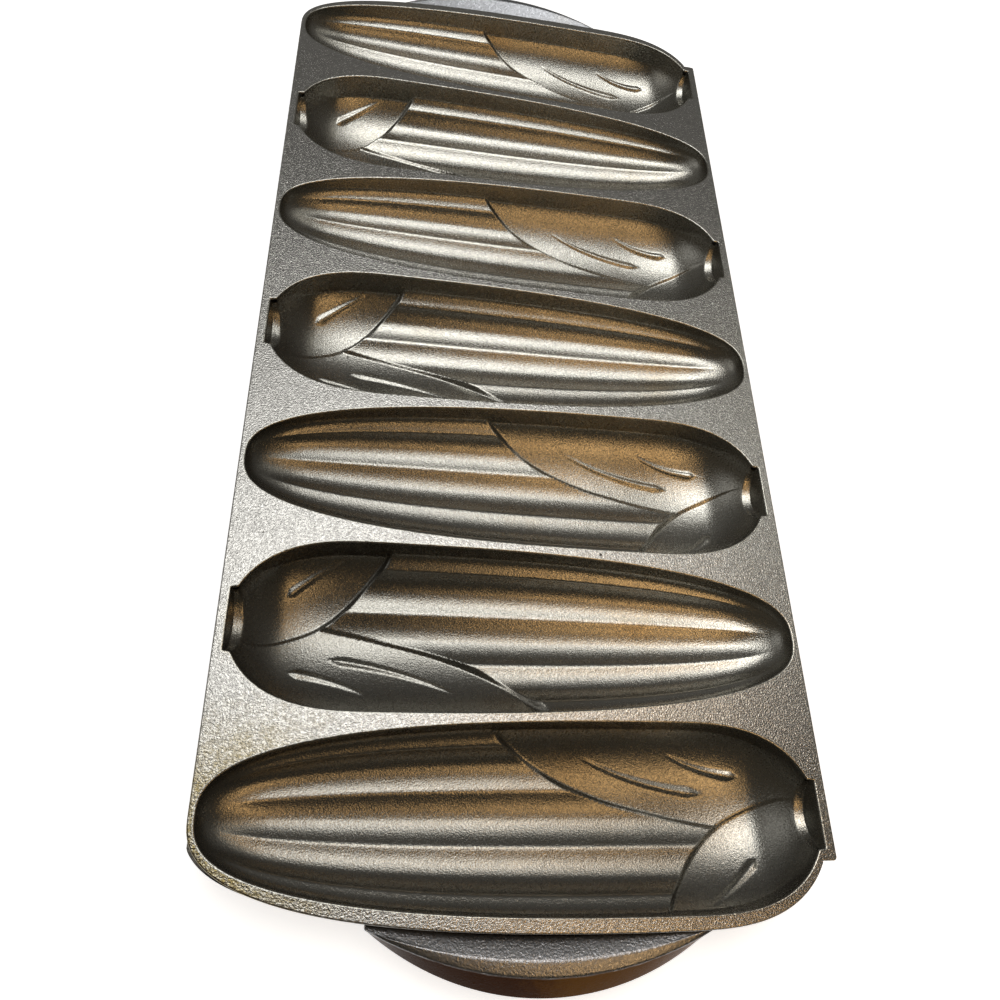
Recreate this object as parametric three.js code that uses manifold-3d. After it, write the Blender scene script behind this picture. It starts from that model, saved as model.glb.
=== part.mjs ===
// A cast-iron cornstick pan: a flat deck with a row of corn-cob moulds that lie head to tail,
// and a D-shaped handle at each end. The real pan is one casting, drawn here as its regions.
// Millimetres, +Z up. X runs along the cobs and Y along the row of cobs.
// The origin is on the surface that the pan rests on, under the middle of the deck.

import * as THREE from 'three';
import { mergeVertices } from 'three/addons/utils/BufferGeometryUtils.js';
import Module from 'manifold-3d';

const wasm = await Module();
wasm.setup();

// Deck
const DECK_WIDTH = 146;
const DECK_THICKNESS = 3;
const RIM_WIDTH = 3.05;
const WEB_WIDTH = 2.12;
const EAR_WIDTH = 2.2;

// Cob moulds
const COB_COUNT = 7;
const COB_WIDTH = 41.6;
const COB_DEPTH = 13.6;
const TIP_WALL = 1.4;
const WIDEST_FROM_STEM_END = 35.7;
const WALL_DRAFT = 0.05;
const FLUTE_COUNT = 5;
const FLUTE_DEPTH = 0.9;
const FLUTE_RUN_OUT = 14;
const TIP_OUTLINE = { along: 2.6, across: 2.6 };
const HUSK_OUTLINE = { along: 3, across: 2 };

// Husk leaves, set deeper than the cob. A leaf's free edge runs from the rim to the neck, in
// points of [share of the leaf's length from the stem's end, share of the mould's half width].
// Its veins, which stand up from it, run between two such points.
const LEAF_RUN_OUT = 2.5;
const LEAF_NECK_RUN_OUT = 12;
const SMALL_LEAF_STEP = 0.6;
const VEIN_HEIGHT = 0.8;
const VEIN_WIDTH = 2;
const LARGE_LEAF_DEPTH = 1.3;
const LARGE_LEAF = {
  length: 80,
  edge: [[1, 1.02], [0.94, 0.83], [0.815, 0.5], [0.665, 0.245], [0.465, 0.05], [0.265, -0.1], [0.05, -0.25]],
  veins: [
    { from: [0.684, 0.64], to: [0.28, 0.265] },
    { from: [0.41, 0.68], to: [0.169, 0.5] },
  ],
};
const SMALL_LEAF = {
  length: 38.5,
  edge: [[1, -1], [0.836, -0.645], [0.639, -0.26], [0.52, -0.1], [0.257, 0.15], [0.083, 0.36]],
  veins: [{ from: [0.675, -0.86], to: [0.299, -0.49] }],
};

// Stem pockets
const STEM_MOUTH_WIDTH = 16;
const STEM_END_WIDTH = 15.4;
const STEM_DEPTH = 7.6;
const STEM_LENGTH = 5;
const STEM_DRAFT = 0.5;
const STEM_END_WALL = 2.3;

// Shells under the deck
const SIDE_WALL = 2.4;
const FLOOR_THICKNESS = 2.5;
const LAND_CUT = 0.6;
const STEM_WALL = 3;
const EDGE_SETBACK = 0.3;
const CUP_GAP = 0.2;

// Handles. The near one slants from a bevelled top, and the far one is flat to its rounded edge.
const HANDLE_DROP = 1.2;
const HANDLE_REACH = 12.1;
const HANDLE_SETBACK = 2;
const HANDLE_THICKNESS = 7;
const HANDLE_ROOT = 8;
const HANDLE_FOOT_ROUND = 1.4;
const HANDLE_GAP = 0.3;
const NEAR_CHORD = 80;
const NEAR_SHIFT = 4.7;
const NEAR_SLANT = 4.4;
const NEAR_BEVEL = 3;
const NEAR_BEVEL_DROP = 1;
const FAR_CHORD = 73;
const FAR_SHIFT = 0.4;
const FAR_EDGE_ROUND = 0.7;

// Facets
const TIP_STATIONS = 11;
const HUSK_STATIONS = 7;
const STEPS_PER_FLUTE = 3;
const SMOOTH_STEPS = 10;
const EDGE_STEPS = 3;
const HANDLE_STEPS = 20;
const BAY_STEPS = 14;
const CUT_OVERRUN = 2;
const TIP_SWEEP = 0.97 * Math.PI / 2;
const HUSK_SWEEP = 0.9 * Math.PI / 2;

// Worked out from the dimensions above
const HALF_DECK = DECK_WIDTH / 2;
const HALF_COB = COB_WIDTH / 2;
const TIP_END = -(HALF_DECK - TIP_WALL);
const STEM_END = HALF_DECK - STEM_END_WALL;
const WIDEST = STEM_END - WIDEST_FROM_STEM_END;
const SPLIT = STEM_END - STEM_LENGTH;
const SMALL_LEAF_DEPTH = LARGE_LEAF_DEPTH + SMALL_LEAF_STEP;
const PAN_HEIGHT = COB_DEPTH + SMALL_LEAF_DEPTH + FLOOR_THICKNESS;
const DECK_UNDERSIDE = PAN_HEIGHT - DECK_THICKNESS;
const PITCH = 2 * halfWidth(0) + WEB_WIDTH;
const END_AXIS = PITCH * (COB_COUNT - 1) / 2;
const DECK_END = END_AXIS + HALF_COB + RIM_WIDTH;
const HANDLE_TOP = PAN_HEIGHT - HANDLE_DROP;

// Seasoned iron: bare and pale on the deck, browner in the moulds, darkest in the pockets
const FINISH = {
  deck: { color: 0x77736b, roughness: 0.5, metalness: 0.85 },
  cup: { color: 0x5b5348, roughness: 0.4, metalness: 0.9 },
  pocket: { color: 0x3f3a33, roughness: 0.45, metalness: 0.85 },
  handle: { color: 0x55514a, roughness: 0.55, metalness: 0.8 },
};

// Half the width of a mould's mouth at a place along its axis.
function halfWidth(along) {
  const { run, shape } = along < WIDEST
    ? { run: (WIDEST - along) / (WIDEST - TIP_END), shape: TIP_OUTLINE }
    : { run: (along - WIDEST) / (STEM_END - WIDEST), shape: HUSK_OUTLINE };
  return HALF_COB * (1 - Math.min(run, 1) ** shape.along) ** (1 / shape.across);
}

// Width of the deck's rim outside an end mould, which thins towards both ends of the mould.
function rimWidth(along) {
  return TIP_WALL + (RIM_WIDTH - TIP_WALL) * (1 - (along / TIP_END) ** 4);
}

// Places along a mould's axis from the tip to the stem's end, closer together at both ends.
function stations() {
  const tip = Array.from({ length: TIP_STATIONS }, (_, i) => {
    const turn = TIP_SWEEP * (1 - i / TIP_STATIONS);
    return WIDEST - (WIDEST - TIP_END) * Math.sin(turn);
  });
  const husk = Array.from({ length: HUSK_STATIONS }, (_, i) => {
    const turn = HUSK_SWEEP * i / (HUSK_STATIONS - 1);
    return WIDEST + (STEM_END - WIDEST) * Math.sin(turn);
  });
  return [...tip, ...husk];
}

// One side of a mould's outline, moved outwards along its normal by the distance at each place.
function offsetSide(distanceAt) {
  return stations().map((along, i, all) => {
    const before = all[Math.max(0, i - 1)];
    const after = all[Math.min(all.length - 1, i + 1)];
    const tangent = new THREE.Vector2(after - before, halfWidth(after) - halfWidth(before)).normalize();
    const normal = new THREE.Vector2(-tangent.y, tangent.x);
    return new THREE.Vector2(along, halfWidth(along)).addScaledVector(normal, distanceAt(along));
  });
}

// A closed solid through rings of points, with flat ends.
function loft(rings) {
  const size = rings[0].length;
  const points = rings.flat();
  const faces = [];
  for (let r = 0; r + 1 < rings.length; r += 1) {
    for (let j = 0; j < size; j += 1) {
      const a = r * size + j;
      const b = r * size + (j + 1) % size;
      faces.push(a, b, b + size, a, b + size, a + size);
    }
  }
  const last = points.length - size;
  const ends = [rings[0], rings.at(-1)].map((ring) => centreOf(ring));
  for (let j = 0; j < size; j += 1) {
    const next = (j + 1) % size;
    faces.push(points.length, next, j, points.length + 1, last + j, last + next);
  }
  const geometry = new THREE.BufferGeometry().setFromPoints([...points, ...ends]);
  geometry.setIndex(faces);
  return solid(geometry);
}

function centreOf(ring) {
  return ring.reduce((sum, p) => sum.add(p), new THREE.Vector3()).divideScalar(ring.length);
}

// A closed geometry as a solid that can be joined and cut.
function solid(geometry) {
  geometry.deleteAttribute('normal');
  geometry.deleteAttribute('uv');
  const merged = mergeVertices(geometry);
  return new wasm.Manifold(new wasm.Mesh({
    numProp: 3,
    vertProperties: new Float32Array(merged.attributes.position.array),
    triVerts: new Uint32Array(merged.index.array),
  }));
}

// An upright solid on a plan outline, from one height to another.
function prism(shape, low, high) {
  const geometry = new THREE.ExtrudeGeometry(shape, {
    depth: high - low,
    bevelEnabled: false,
    curveSegments: EDGE_STEPS,
  });
  return solid(geometry.translate(0, 0, low));
}

// An upright box from its plan corners, from one height to another.
function block(x0, x1, y0, y1, low, high) {
  const geometry = new THREE.BoxGeometry(x1 - x0, y1 - y0, high - low);
  return solid(geometry.translate((x0 + x1) / 2, (y0 + y1) / 2, (low + high) / 2));
}

// One ring of a mould: a half ellipse below the deck's top, closed by a lid above it.
// Nothing bulges past the draft that the wall under the rim needs to leave the sand.
function mouldRing({ along, half, depth, steps, push = () => 0, lean = 0 }) {
  const lid = PAN_HEIGHT + CUT_OVERRUN;
  const ring = Array.from({ length: steps + 1 }, (_, i) => {
    const angle = Math.PI * (1 - i / steps);
    const out = new THREE.Vector2(depth * Math.cos(angle), half * Math.sin(angle)).normalize();
    const grow = push(angle);
    const down = depth * Math.sin(angle) + out.y * grow;
    const limit = half - WALL_DRAFT * down;
    const across = THREE.MathUtils.clamp(half * Math.cos(angle) + out.x * grow, -limit, limit);
    return new THREE.Vector3(along - lean * Math.sin(angle), across, PAN_HEIGHT - down);
  });
  return [
    new THREE.Vector3(along, -half, lid),
    ...ring,
    new THREE.Vector3(along, half, lid),
  ];
}

// The cob's body: flutes with sharp ridges between them, which run out at the tip.
function flutedBody() {
  return loft(stations().map((along) => {
    const half = halfWidth(along);
    const fade = THREE.MathUtils.smoothstep(along, TIP_END, TIP_END + FLUTE_RUN_OUT);
    const amount = FLUTE_DEPTH * fade * half / HALF_COB;
    return mouldRing({
      along,
      half,
      depth: COB_DEPTH * half / HALF_COB,
      steps: FLUTE_COUNT * STEPS_PER_FLUTE,
      push: (angle) => {
        const place = (angle / Math.PI * FLUTE_COUNT) % 1;
        return amount * 4 * place * (1 - place);
      },
    });
  }));
}

// A smooth body, deeper than the ridges by a leaf's depth except close to the rim and the neck.
function leafBody(extra) {
  return loft(stations().map((along) => {
    const half = halfWidth(along);
    const depth = COB_DEPTH * half / HALF_COB;
    const fade = THREE.MathUtils.smoothstep(STEM_END - along, 0, LEAF_NECK_RUN_OUT);
    return mouldRing({
      along,
      half,
      depth,
      steps: SMOOTH_STEPS,
      push: (angle) => extra * fade * Math.min(1, depth * Math.sin(angle) / LEAF_RUN_OUT),
    });
  }));
}

// A plan point from its share of a leaf's length and its share of the mould's half width.
function leafPoint(length, [run, share]) {
  const along = STEM_END - run * length;
  return new THREE.Vector2(along, share * halfWidth(along));
}

// Everything between a leaf's free edge and the stem, on one side of the mould.
function leafRegion({ length, edge }, side) {
  const points = edge.map((point) => leafPoint(length, point));
  const beyond = side * (HALF_COB + WEB_WIDTH);
  const shape = new THREE.Shape();
  shape.moveTo(points[0].x, beyond);
  shape.lineTo(points[0].x, points[0].y);
  shape.splineThru(points.slice(1));
  shape.lineTo(HALF_DECK, points.at(-1).y);
  shape.lineTo(HALF_DECK, beyond);
  shape.closePath();
  return prism(shape, 0, PAN_HEIGHT + 2 * CUT_OVERRUN);
}

// The lens-shaped plan of a vein.
function veinRegion(length, { from, to }) {
  const start = leafPoint(length, from);
  const end = leafPoint(length, to);
  const middle = start.clone().add(end).multiplyScalar(0.5);
  const across = end.clone().sub(start).normalize().rotateAround(new THREE.Vector2(), Math.PI / 2);
  const left = middle.clone().addScaledVector(across, VEIN_WIDTH);
  const right = middle.clone().addScaledVector(across, -VEIN_WIDTH);
  const shape = new THREE.Shape();
  shape.moveTo(start.x, start.y);
  shape.quadraticCurveTo(right.x, right.y, end.x, end.y);
  shape.quadraticCurveTo(left.x, left.y, start.x, start.y);
  return prism(shape, 0, PAN_HEIGHT);
}

// A leaf with its veins left standing.
function leaf(shape, depth, side) {
  const shallow = leafBody(depth - VEIN_HEIGHT);
  const body = leafBody(depth).intersect(leafRegion(shape, side));
  const ribs = shape.veins.map((vein) => veinRegion(shape.length, vein).subtract(shallow));
  return ribs.reduce((sum, rib) => sum.subtract(rib), body);
}

// The half-round stem, whose end wall leans back for draft.
function stemBody() {
  const rings = [
    { along: WIDEST, half: STEM_MOUTH_WIDTH / 2 },
    { along: STEM_END - STEM_LENGTH / 2, half: STEM_MOUTH_WIDTH / 2 },
    { along: STEM_END, half: STEM_END_WIDTH / 2, lean: STEM_DRAFT },
  ];
  return loft(rings.map((ring) => mouldRing({ ...ring, depth: STEM_DEPTH, steps: SMOOTH_STEPS })));
}

// The whole hollow of one mould, with its tip towards -X and its stem towards +X.
function hollow() {
  return flutedBody()
    .add(leaf(LARGE_LEAF, LARGE_LEAF_DEPTH, 1))
    .add(leaf(SMALL_LEAF, SMALL_LEAF_DEPTH, -1))
    .add(stemBody());
}

// The outside of a cup, before it is cut to its place under the deck.
function cupOutside(extra) {
  const depth = PAN_HEIGHT + LAND_CUT + extra;
  const side = offsetSide(() => SIDE_WALL + extra);
  return loft(side.map(({ x, y }) => mouldRing({
    along: x,
    half: y,
    depth: depth * y / (HALF_COB + SIDE_WALL + extra),
    steps: SMOOTH_STEPS,
  })));
}

// The space under the deck that belongs to one cup. It is bounded by the middle of the iron
// between this mould and its neighbours, which lie the other way round.
function cupBay(from, to) {
  const side = Array.from({ length: BAY_STEPS + 1 }, (_, i) => {
    const along = from + (to - from) * i / BAY_STEPS;
    const reach = (PITCH - CUP_GAP + halfWidth(along) - halfWidth(-along)) / 2;
    return new THREE.Vector2(along, reach);
  });
  const mirrored = [...side].reverse().map(({ x, y }) => new THREE.Vector2(x, -y));
  return prism(new THREE.Shape([...side, ...mirrored]), 0, DECK_UNDERSIDE);
}

function cobCup(core) {
  const outside = cupOutside(0).intersect(cupBay(-HALF_DECK + EDGE_SETBACK, SPLIT));
  return outside.subtract(core);
}

function stemPocket(core) {
  const half = STEM_MOUTH_WIDTH / 2 + STEM_WALL;
  const ring = (along) => mouldRing({
    along,
    half,
    depth: STEM_DEPTH + STEM_WALL,
    steps: SMOOTH_STEPS,
  });
  const stemOutside = loft([ring(WIDEST), ring(HALF_DECK)]);
  const bay = cupBay(SPLIT, HALF_DECK - EDGE_SETBACK);
  return stemOutside.add(cupOutside(0)).intersect(bay).subtract(core);
}

// The deck's rim around an end cob and its stem, larger all round by an extra.
function endRim(extra) {
  const side = offsetSide((along) => rimWidth(along) + extra);
  const mirrored = [...side].reverse().map(({ x, y }) => new THREE.Vector2(x, -y));
  const ear = STEM_MOUTH_WIDTH / 2 + EAR_WIDTH + extra;
  return prism(new THREE.Shape([...side, ...mirrored]), DECK_UNDERSIDE, PAN_HEIGHT)
    .add(block(WIDEST, HALF_DECK, -ear, ear, DECK_UNDERSIDE, PAN_HEIGHT));
}

function deckPlate(core, places) {
  const beyond = DECK_END + CUT_OVERRUN;
  const width = block(-HALF_DECK, HALF_DECK, -beyond, beyond, DECK_UNDERSIDE, PAN_HEIGHT);
  const plate = block(-HALF_DECK, HALF_DECK, -END_AXIS, END_AXIS, DECK_UNDERSIDE, PAN_HEIGHT)
    .add(placed(endRim(0), places[0]))
    .add(placed(endRim(0), places.at(-1)))
    .intersect(width);
  return places.reduce((sum, place) => sum.subtract(placed(core, place)), plate);
}

// Where each cob lies: its axis along Y, and whether it is turned end for end.
function cobPlaces() {
  return Array.from({ length: COB_COUNT }, (_, i) => ({
    y: i * PITCH - END_AXIS,
    turn: i % 2 === 0 ? 0 : 180,
  }));
}

function placed(body, { y, turn }) {
  return body.rotate([0, 0, turn]).translate([0, y, 0]);
}

// The levels of a handle's side from its foot to its top: how far below the top, and how far in.
function handleLevels(edgeDrop, edgeInset, topInset) {
  return [
    { drop: HANDLE_THICKNESS, inset: HANDLE_FOOT_ROUND },
    { drop: HANDLE_THICKNESS - HANDLE_FOOT_ROUND, inset: 0 },
    { drop: edgeDrop, inset: edgeInset },
    { drop: 0, inset: topInset },
  ];
}

// A D-shaped lug at the end towards -Y, before it is cut to its place. Its arcs share their ends.
function handleLug(chord, shift, levels) {
  const half = chord / 2;
  const base = HANDLE_SETBACK - DECK_END;
  const root = HANDLE_ROOT - DECK_END;
  return loft(levels.map(({ drop, inset }) => {
    const z = HANDLE_TOP - drop;
    const reach = HANDLE_REACH + HANDLE_SETBACK - inset;
    const radius = (reach ** 2 + half ** 2) / (2 * reach);
    const sweep = Math.asin(half / radius);
    const arc = Array.from({ length: HANDLE_STEPS + 1 }, (_, i) => {
      const angle = sweep * (2 * i / HANDLE_STEPS - 1);
      const y = base - reach + radius * (1 - Math.cos(angle));
      return new THREE.Vector3(shift + radius * Math.sin(angle), y, z);
    });
    return [...arc, new THREE.Vector3(shift + half, root, z), new THREE.Vector3(shift - half, root, z)];
  }));
}

// A handle cut clear of the cup and the rim beside it.
function handle(lug, place) {
  return lug
    .subtract(placed(cupOutside(HANDLE_GAP), place))
    .subtract(placed(endRim(HANDLE_GAP), place));
}

// A solid as a named mesh with a finish of its own.
function piece(name, body, finish) {
  const { vertProperties, triVerts } = body.getMesh();
  const geometry = new THREE.BufferGeometry();
  geometry.setAttribute('position', new THREE.BufferAttribute(new Float32Array(vertProperties), 3));
  geometry.setIndex(new THREE.BufferAttribute(new Uint32Array(triVerts), 1));
  geometry.computeVertexNormals();
  const mesh = new THREE.Mesh(geometry, new THREE.MeshStandardMaterial(finish));
  mesh.name = name;
  return mesh;
}

const core = hollow();
const cup = cobCup(core);
const pocket = stemPocket(core);
const places = cobPlaces();
const nearLevels = handleLevels(NEAR_BEVEL_DROP, NEAR_SLANT, NEAR_SLANT + NEAR_BEVEL);
const farLevels = handleLevels(FAR_EDGE_ROUND, 0, FAR_EDGE_ROUND);
const nearLug = handleLug(NEAR_CHORD, NEAR_SHIFT, nearLevels);
const farLug = handleLug(FAR_CHORD, FAR_SHIFT, farLevels).mirror([0, 1, 0]);

const pan = new THREE.Group();
pan.add(piece('deck_plate', deckPlate(core, places), FINISH.deck));
places.forEach(({ y, turn }, i) => {
  const bay = new THREE.Group();
  bay.position.y = y;
  bay.rotation.z = THREE.MathUtils.degToRad(turn);
  bay.add(piece(`cob_cup_${i + 1}`, cup, FINISH.cup));
  bay.add(piece(`stem_pocket_${i + 1}`, pocket, FINISH.pocket));
  pan.add(bay);
});
pan.add(piece('handle_near', handle(nearLug, places[0]), FINISH.handle));
pan.add(piece('handle_far', handle(farLug, places.at(-1)), FINISH.handle));

export default pan;
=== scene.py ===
"""A cornstick pan of seasoned cast iron: a flat deck, seven corn-cob moulds and two handles."""

import math

import bmesh
import bpy
import numpy as np
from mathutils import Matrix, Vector


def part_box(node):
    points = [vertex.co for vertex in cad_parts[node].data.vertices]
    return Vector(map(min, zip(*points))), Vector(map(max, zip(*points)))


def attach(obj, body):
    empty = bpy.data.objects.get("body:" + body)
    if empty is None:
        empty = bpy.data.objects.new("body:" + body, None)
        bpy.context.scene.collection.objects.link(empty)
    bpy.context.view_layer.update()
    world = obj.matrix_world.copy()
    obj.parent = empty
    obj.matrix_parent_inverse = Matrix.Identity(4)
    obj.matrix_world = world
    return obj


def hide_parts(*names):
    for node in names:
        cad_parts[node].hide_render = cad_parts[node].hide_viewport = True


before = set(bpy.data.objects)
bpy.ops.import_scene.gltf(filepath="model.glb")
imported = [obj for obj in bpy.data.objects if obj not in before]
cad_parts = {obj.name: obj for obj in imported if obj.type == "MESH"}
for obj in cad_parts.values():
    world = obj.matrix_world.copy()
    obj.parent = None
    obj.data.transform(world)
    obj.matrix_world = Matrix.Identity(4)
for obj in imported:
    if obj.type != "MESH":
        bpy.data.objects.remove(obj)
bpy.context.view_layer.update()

MM = 0.001
RIGHT_ANGLE = math.pi / 2

# Sizes taken from the frame
deck_low, deck_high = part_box("deck_plate")
handle_low, handle_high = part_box("handle_near")
HALF_DECK = deck_high.x
PAN_HEIGHT = deck_high.z
DECK_THICKNESS = deck_high.z - deck_low.z
HANDLE_FOOT = handle_low.z
HANDLE_TOP = handle_high.z
HANDLE_TIP = -handle_low.y

# Cob moulds. The mouth is drawn at the foot of its rounded rim, which sets it back a little.
COB_COUNT = 7
RIM_ROUND = 0.45 * MM
MOUTH_SETBACK = 0.25 * MM
COB_WIDTH = 41.6 * MM
HALF_COB = COB_WIDTH / 2 - MOUTH_SETBACK
COB_DEPTH = 13.6 * MM
TIP_WALL = 1.4 * MM
TIP_END = -HALF_DECK + TIP_WALL + MOUTH_SETBACK
STEM_END_WALL = 2.3 * MM
STEM_END = HALF_DECK - STEM_END_WALL - MOUTH_SETBACK
WIDEST = 35 * MM
TIP_POWERS = (2.6, 2.6)
HUSK_POWERS = (3, 2)
WEB_WIDTH = 2.12 * MM
WALL_DRAFT = 0.05
RIM_RUN_OUT = 6 * MM
FLUTE_COUNT = 5
FLUTE_DEPTH = 1.3 * MM
FLUTE_RUN_OUT = 14 * MM
CREST_ROUND = 0.05
CREST_SHARPNESS = 8

# Deck: its rim narrows towards both ends of an end mould, and ends in an ear beside the stem
RIM_WIDTH = 3.05 * MM
RIM_POWER = 4
DECK_EDGE_ROUND = 0.35 * MM
DECK_EDGE_FLAT = 0.1 * MM
EAR_WIDTH = 2.2 * MM
EAR_ROUND = 0.9 * MM

# Husk leaves: points of each free edge from the neck to past the rim, as shares of the leaf's length from the
# stem's end and of the mould's half width. The curve through them has room for a distance from the stem's end
# and for shares on either side, each up to its reach.
NECK_RUN_OUT = 12 * MM
LEAF_STEP_WIDTH = 0.6 * MM
LEAF_CURVE_REACH = 100 * MM
LEAF_SHARE_REACH = 2
LARGE_LEAF_DEPTH = 1.75 * MM
LARGE_LEAF_LENGTH = 80 * MM
LARGE_LEAF_EDGE = [
    (0.05, -0.25), (0.265, -0.1), (0.465, 0.05), (0.665, 0.245),
    (0.815, 0.5), (0.94, 0.83), (1, 1.02), (1.18, 1.8),
]
SMALL_LEAF_DEPTH = 2.4 * MM
SMALL_LEAF_LENGTH = 38.5 * MM
SMALL_LEAF_EDGE = [
    (0.083, 0.36), (0.257, 0.15), (0.52, -0.1), (0.639, -0.26), (0.836, -0.645), (1, -1), (1.3, -1.8),
]

# Veins that stand up from the leaves, from their thin end to their blunt end, in the same terms
LARGE_VEIN_HEIGHT = 0.6 * MM
SMALL_VEIN_HEIGHT = 0.5 * MM
VEIN_HALF_WIDTH = 1.4 * MM
VEIN_BOW = 0.16
VEIN_POINT_POWER = 0.6
VEIN_BLUNT_SHARE = 0.14
LARGE_LEAF_VEINS = [((0.684, 0.64), (0.28, 0.265)), ((0.41, 0.68), (0.169, 0.5))]
SMALL_LEAF_VEINS = [((0.675, -0.86), (0.299, -0.49))]

# Stems
STEM_HALF_WIDTH = 8 * MM - MOUTH_SETBACK
STEM_END_HALF_WIDTH = 7.7 * MM - MOUTH_SETBACK
STEM_TAPER = 2.5 * MM
STEM_DEPTH = 7.6 * MM
STEM_RUN_IN = 8 * MM
STEM_FLOOR_RISE = 1.5 * MM
STEM_FLOOR_LENGTH = 6 * MM
STEM_DRAFT = 0.5 * MM
STEM_FOOT_ROUND = 0.8 * MM
NECK_ROUND = 0.35 * MM

# Shells under the deck: each would reach below the pan's foot, and is cut flat there to rest on
SIDE_WALL = 2.4 * MM + MOUTH_SETBACK
LAND_CUT = 0.6 * MM
LAND_ROUND = 0.4 * MM
SHELL_DEPTH = PAN_HEIGHT + LAND_CUT
STEM_SHELL_HALF_WIDTH = 11 * MM
STEM_SHELL_DEPTH = 10 * MM
SHELL_SETBACK = 0.3 * MM
SHELL_FILLET = 2 * MM
COLLAR_OFFSET = 0.6 * MM
COLLAR_CLEARANCE = 0.3 * MM
COLLAR_DEPTH = DECK_THICKNESS - COLLAR_CLEARANCE

# Handles: each has a dished top that rises from the rim to a lip. The corners of the lip and of the side
# below it are how far in and how far down they lie.
HANDLE_REACH = 14.1 * MM
HANDLE_FOOT_ROUND = 1.4 * MM
HANDLE_SINK = 0.3 * MM
HANDLE_THICKNESS = HANDLE_TOP - HANDLE_FOOT
DISH_ROOT_SLOPE = 0.56
DISH_LIP_SLOPE = 0.42
LIP_DROP = 0.35 * MM
HANDLE_FOOT_CORNERS = [(0, HANDLE_THICKNESS - HANDLE_FOOT_ROUND), (HANDLE_FOOT_ROUND, HANDLE_THICKNESS)]
NEAR_HANDLE = {"chord": 80 * MM, "shift": 4.7 * MM, "round": 0.5 * MM}
NEAR_HANDLE["corners"] = [(7.4 * MM, 0), (4.4 * MM, LIP_DROP)] + HANDLE_FOOT_CORNERS
FAR_HANDLE = {"chord": 79 * MM, "shift": 1.5 * MM, "round": 0.6 * MM}
FAR_HANDLE["corners"] = [(3 * MM, 0), (0.8 * MM, LIP_DROP)] + HANDLE_FOOT_CORNERS

# Mesh counts
SIDE_POINTS = 350
END_POINTS = 16
HOLLOW_ROWS = 75
RIM_ROWS = 10
SHELL_ROWS = 19
END_RIM_POINTS = 240
EAR_STEPS = 5
DECK_EDGE_STEPS = 5
HANDLE_SECTIONS = 120
DISH_ROWS = 8

# Spacing: the points of a mould's mouth lie closest at the tip, and closer along the leaves than along the
# plain flutes. Rows run from the mouth in to a line of hubs.
AROUND = 2 * (SIDE_POINTS + END_POINTS)
SIDE_SHARE = SIDE_POINTS / (SIDE_POINTS + END_POINTS)
TIP_CROWD = 0.04
COB_LENGTH = STEM_END - TIP_END
FLUTED_LENGTH = 62 * MM
FLUTED_SHARE = 0.25
HUB_INSET = 14 * MM
TIP_HUB = TIP_END + HUB_INSET
HUSK_HUB = 62 * MM
RIM_ROUND_ROWS = 0.6
RIM_FLAT_ROWS = 0.8
SEAM_SLACK = 0.01
OFF_SEAM = -1

# Limits of meshing
MERGE = 0.002 * MM
TINY = 0.01 * MM
SAME = 0.001 * MM
MOULD_SHARP_ANGLE = 62
DECK_SHARP_ANGLE = 40
HANDLE_SHARP_ANGLE = 35


# Arithmetic that works on plain numbers and on node sockets alike

class Field:
    """A value at every point of a node tree. Arithmetic on it adds Math nodes."""

    def __init__(self, tree, socket):
        self.tree = tree
        self.socket = socket

    def __add__(self, other):
        return work("ADD", self, other)

    def __sub__(self, other):
        return work("SUBTRACT", self, other)

    def __mul__(self, other):
        return work("MULTIPLY", self, other)

    def __truediv__(self, other):
        return work("DIVIDE", self, other)

    def __pow__(self, other):
        return work("POWER", self, other)

    def __rsub__(self, other):
        return work("SUBTRACT", other, self)

    def __neg__(self):
        return work("MULTIPLY", self, -1)

    __radd__ = __add__
    __rmul__ = __mul__


PLAIN_WORK = {"MAXIMUM": np.maximum, "MINIMUM": np.minimum, "SIGN": np.sign, "ABSOLUTE": np.abs}


def work(operation, *values):
    """One step of arithmetic: a Math node where a value is a Field, and plain numbers otherwise."""
    tree = next((value.tree for value in values if isinstance(value, Field)), None)
    if tree is None:
        return PLAIN_WORK[operation](*values)
    node = tree.nodes.new("ShaderNodeMath")
    node.operation = operation
    for socket, value in zip(node.inputs, values):
        feed(tree, socket, value)
    return Field(tree, node.outputs[0])


def feed(tree, socket, value):
    """Links a Field or a socket to an input, or sets the input's own value."""
    if isinstance(value, Field):
        value = value.socket
    if isinstance(value, bpy.types.NodeSocket):
        tree.links.new(value, socket)
    else:
        socket.default_value = value


def add_node(tree, kind, settings=None, **inputs):
    """A new node with its settings, and its inputs by name, with _ for a space."""
    node = tree.nodes.new(kind)
    for name, value in (settings or {}).items():
        setattr(node, name, value)
    for name, value in inputs.items():
        feed(tree, node.inputs[name.replace("_", " ")], value)
    return node


def larger(a, b):
    return work("MAXIMUM", a, b)


def smaller(a, b):
    return work("MINIMUM", a, b)


def clamp(value, low, high):
    return smaller(larger(value, low), high)


def smooth_larger(a, b, blend):
    """The larger of two values, with the corner where they meet rounded."""
    nearness = larger(blend - work("ABSOLUTE", a - b), 0) / blend
    return larger(a, b) + nearness * nearness * (blend / 4)


def smooth_smaller(a, b, blend):
    return -smooth_larger(-a, -b, blend)


def ease(value, start, end):
    """0 before start and 1 after end, with a smooth rise between them."""
    share = clamp((value - start) / (end - start), 0, 1)
    return share * share * (3 - 2 * share)


# The rule of a mould: along runs from the tip to the stem, across to the side of the large leaf

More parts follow.
